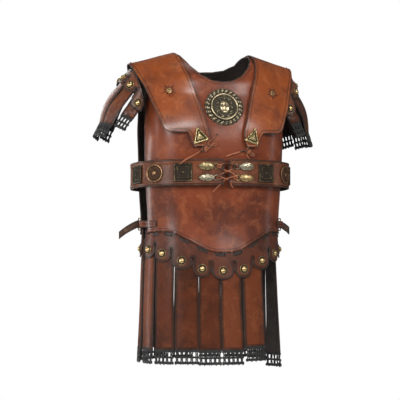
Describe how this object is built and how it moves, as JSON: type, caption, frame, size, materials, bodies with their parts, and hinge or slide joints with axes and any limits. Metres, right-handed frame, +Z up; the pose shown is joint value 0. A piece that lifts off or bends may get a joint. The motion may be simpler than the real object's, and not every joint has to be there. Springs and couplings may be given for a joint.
{
  "type": "leather cuirass",
  "caption": "Ancient style leather body armour with shoulder plates, a laced chest belt with bronze fittings, scalloped waist bands and fringed hanging strips.",
  "frame": {"origin": "midpoint between the shoulders, level with the wearer's shoulder tops, where the cuirass sits on its wearer", "axes": "+Z up, -Y is the front the wearer faces, +X is the wearer's left"},
  "size_m": [0.5699, 0.28, 0.777],
  "materials": {
    "shell_leather": "waxed russet brown, worn",
    "plate_leather": "waxed orange tan, burnished dark edges",
    "belt_leather": "tooled lines, dark in the middle",
    "strip_leather": "tan with dark edges, black fringe",
    "strap_leather": "dark and rough",
    "thong_leather": "rounded lace",
    "aged_bronze": "dark patina with bright high places",
    "worn_brass": "dull polished"
  },
  "bodies": {
    "root": {"breastplate": "shell_leather", "backplate": "shell_leather", "scallop_band_front": "shell_leather", "scallop_band_back": "shell_leather", "sleeve_band_right": "shell_leather", "sleeve_band_left": "shell_leather", "buckle_tab_right": "shell_leather", "buckle_tab_left": "shell_leather", "shoulder_plate_right": "plate_leather", "shoulder_plate_left": "plate_leather", "chest_belt": "belt_leather", "strip_front_1": "strip_leather", "strip_front_2": "strip_leather", "strip_front_3": "strip_leather", "strip_front_4": "strip_leather", "strip_front_5": "strip_leather", "strip_front_6": "strip_leather", "strip_back_1": "strip_leather", "strip_back_2": "strip_leather", "strip_back_3": "strip_leather", "strip_back_4": "strip_leather", "strip_back_5": "strip_leather", "strip_back_6": "strip_leather", "strip_back_7": "strip_leather", "strip_back_8": "strip_leather", "sleeve_strip_right_1": "strip_leather", "sleeve_strip_right_2": "strip_leather", "sleeve_strip_right_3": "strip_leather", "sleeve_strip_right_4": "strip_leather", "sleeve_strip_right_5": "strip_leather", "sleeve_strip_left_1": "strip_leather", "sleeve_strip_left_2": "strip_leather", "sleeve_strip_left_3": "strip_leather", "sleeve_strip_left_4": "strip_leather", "sleeve_strip_left_5": "strip_leather", "side_strap_right": "strap_leather", "side_strap_left": "strap_leather", "belt_lacing": "thong_leather", "tie_right_long": "thong_leather", "tie_right_bow": "thong_leather", "tie_left_long": "thong_leather", "tie_left_tail": "thong_leather", "medallion_rosette": "aged_bronze", "medallion_boss": "aged_bronze", "square_plaque_1": "aged_bronze", "square_plaque_2": "aged_bronze", "square_plaque_3": "aged_bronze", "square_plaque_4": "aged_bronze", "round_plaque_1": "aged_bronze", "round_plaque_2": "aged_bronze", "triangle_stud_right": "worn_brass", "triangle_stud_left": "worn_brass", "leaf_hook_upper_right": "worn_brass", "leaf_hook_lower_right": "worn_brass", "leaf_hook_upper_left": "worn_brass", "leaf_hook_lower_left": "worn_brass", "side_buckle_right": "worn_brass", "side_buckle_left": "worn_brass"}
  },
  "joints": []
}
